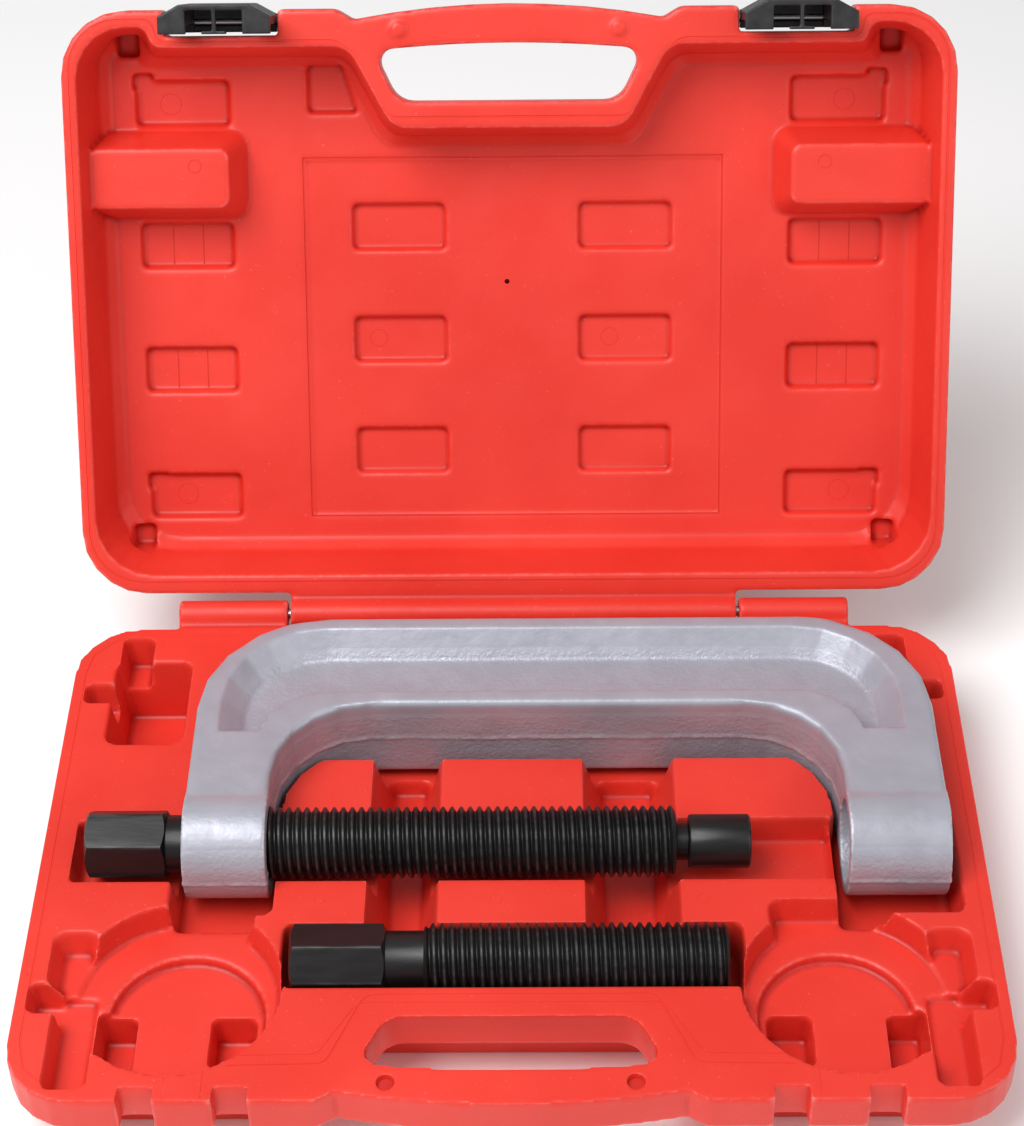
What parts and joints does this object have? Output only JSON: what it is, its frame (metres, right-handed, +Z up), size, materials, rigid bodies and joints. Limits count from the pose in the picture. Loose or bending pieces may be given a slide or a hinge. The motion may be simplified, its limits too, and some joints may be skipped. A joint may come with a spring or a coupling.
{
  "type": "ball joint separator",
  "caption": "C-frame ball joint press with a threaded forcing screw and a spare short screw, lying in an open blow-moulded carry case with a hinged lid and latches.",
  "frame": {"origin": "centre of the flat underside of the case's base", "axes": "+X to the right along the case's width, towards the plain leg of the press; +Y back, towards the lid's hinge; +Z up"},
  "size_m": [0.33, 0.3681, 0.2481],
  "materials": {
    "red_plastic": "satin",
    "silver_paint": "satin",
    "black_oxide": "satin",
    "black_plastic": "satin",
    "plain_steel": "satin"
  },
  "bodies": {
    "base": {"base_shell": "red_plastic", "hinge_pin_left": "plain_steel", "hinge_pin_right": "plain_steel"},
    "lid": {"lid_shell": "red_plastic", "latch_pin_left": "plain_steel", "latch_pin_right": "plain_steel"},
    "left_latch": {"latch_left": "black_plastic"},
    "right_latch": {"latch_right": "black_plastic"},
    "press": {"c_frame": "silver_paint"},
    "foot": {"pressure_foot": "black_oxide", "foot_retaining_ring": "plain_steel"},
    "long_screw": {"forcing_screw_long": "black_oxide"},
    "short_screw": {"forcing_screw_short": "black_oxide"}
  },
  "joints": [
    {"name": "lid_hinge", "type": "hinge", "parent": "base", "child": "lid", "pos_m": [0, 0.11725, 0.038], "axis": [-1, 0, 0], "range_deg": [-118.98, 0]},
    {"name": "latch_left_hinge", "type": "hinge", "parent": "lid", "child": "left_latch", "pos_m": [-0.10565, 0.23416, 0.22845], "axis": [-1, 0, 0], "range_deg": [0, 95]},
    {"name": "latch_right_hinge", "type": "hinge", "parent": "lid", "child": "right_latch", "pos_m": [0.10565, 0.23416, 0.22845], "axis": [-1, 0, 0], "range_deg": [0, 95]},
    {"name": "press_lift", "type": "slide", "parent": "base", "child": "press", "axis": [0, 0, 1], "range_m": [0, 0.08]},
    {"name": "screw_advance", "type": "slide", "parent": "press", "child": "foot", "axis": [1, 0, 0], "range_m": [-0.0034, 0.006]},
    {"name": "screw_turn", "type": "hinge", "parent": "foot", "child": "long_screw", "pos_m": [0, -0.0036, 0.0415], "axis": [1, 0, 0], "range_deg": [-390, 685]},
    {"name": "short_screw_lift", "type": "slide", "parent": "base", "child": "short_screw", "axis": [0, 0, 1], "range_m": [0, 0.08]}
  ],
  "couplings": [
    {"joint": "screw_turn", "follows": "screw_advance", "rad_per_m": 1979}
  ]
}
